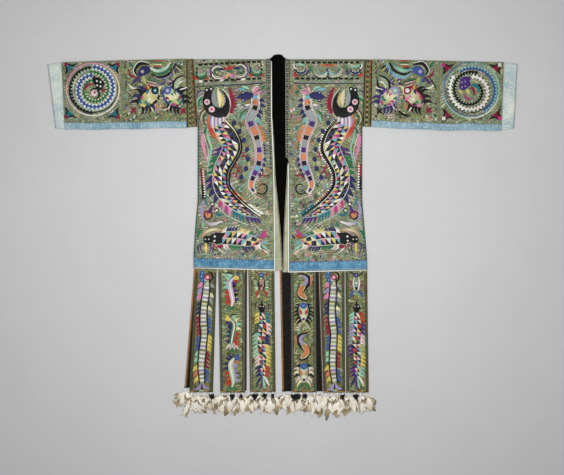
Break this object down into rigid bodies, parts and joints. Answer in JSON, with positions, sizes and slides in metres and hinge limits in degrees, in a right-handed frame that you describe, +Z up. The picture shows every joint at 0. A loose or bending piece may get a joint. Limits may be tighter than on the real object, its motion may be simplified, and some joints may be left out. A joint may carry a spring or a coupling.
{
  "type": "embroidered festival jacket with feather-fringed tail strips, laid flat",
  "caption": "T-shaped embroidered festival jacket laid flat: open front, wide sleeves, blue hem and a skirt of separate strips ending in white feather tassels.",
  "frame": {"origin": "on the surface that the jacket lies on, under the middle of its whole outline", "axes": "+X across the jacket towards the wearer's left sleeve, +Y up the jacket towards the neck, +Z up"},
  "size_m": [1.4068, 1.0829, 0.0089],
  "materials": {
    "back_cloth": "plain dark cotton",
    "black_lining": "plain black cotton",
    "front_embroidery": "dense silk embroidery on a sage ground",
    "yoke_frieze": "pale silk embroidery",
    "neck_binding": "dark teal binding",
    "sage_facing": "plain sage cotton",
    "white_piping": "white cotton cord",
    "blue_band": "mottled denim-blue cotton",
    "sleeve_ground": "sage ground cloth",
    "armhole_braid": "striped olive and brown braid",
    "pale_cuff": "pale blue cotton",
    "sleeve_embroidery": "dense silk embroidery",
    "tail_embroidery": "dense silk embroidery with dark trims",
    "black_tail": "black cotton with a brown selvedge",
    "feather": "white down and seed beads"
  },
  "bodies": {
    "root": {"armhole_band_left": "armhole_braid", "armhole_band_right": "armhole_braid", "back": "back_cloth", "back_lining": "black_lining", "bird_square_left": "sleeve_embroidery", "bird_square_right": "sleeve_embroidery", "cuff_left": "pale_cuff", "cuff_right": "pale_cuff", "facing_left": "sage_facing", "facing_right": "sage_facing", "feather_fringe_1": "feather", "feather_fringe_2": "feather", "feather_fringe_3": "feather", "feather_fringe_4": "feather", "feather_fringe_5": "feather", "feather_fringe_6": "feather", "feather_fringe_back_1": "feather", "feather_fringe_back_4": "feather", "front_left": "front_embroidery", "front_right": "front_embroidery", "hem_band_left": "blue_band", "hem_band_right": "blue_band", "medallion_square_left": "sleeve_embroidery", "medallion_square_right": "sleeve_embroidery", "neck_band_left": "neck_binding", "neck_band_right": "neck_binding", "neck_stand": "black_lining", "piping_left": "white_piping", "piping_right": "white_piping", "sleeve_left": "sleeve_ground", "sleeve_right": "sleeve_ground", "tail_back_1": "black_tail", "tail_back_2": "black_tail", "tail_back_3": "black_tail", "tail_back_4": "black_tail", "tail_back_5": "black_tail", "tail_back_6": "black_tail", "tail_front_1": "tail_embroidery", "tail_front_2": "tail_embroidery", "tail_front_3": "tail_embroidery", "tail_front_4": "tail_embroidery", "tail_front_5": "tail_embroidery", "tail_front_6": "tail_embroidery", "underarm_strip_left": "blue_band", "underarm_strip_right": "blue_band", "yoke_left": "yoke_frieze", "yoke_right": "yoke_frieze"}
  },
  "joints": []
}
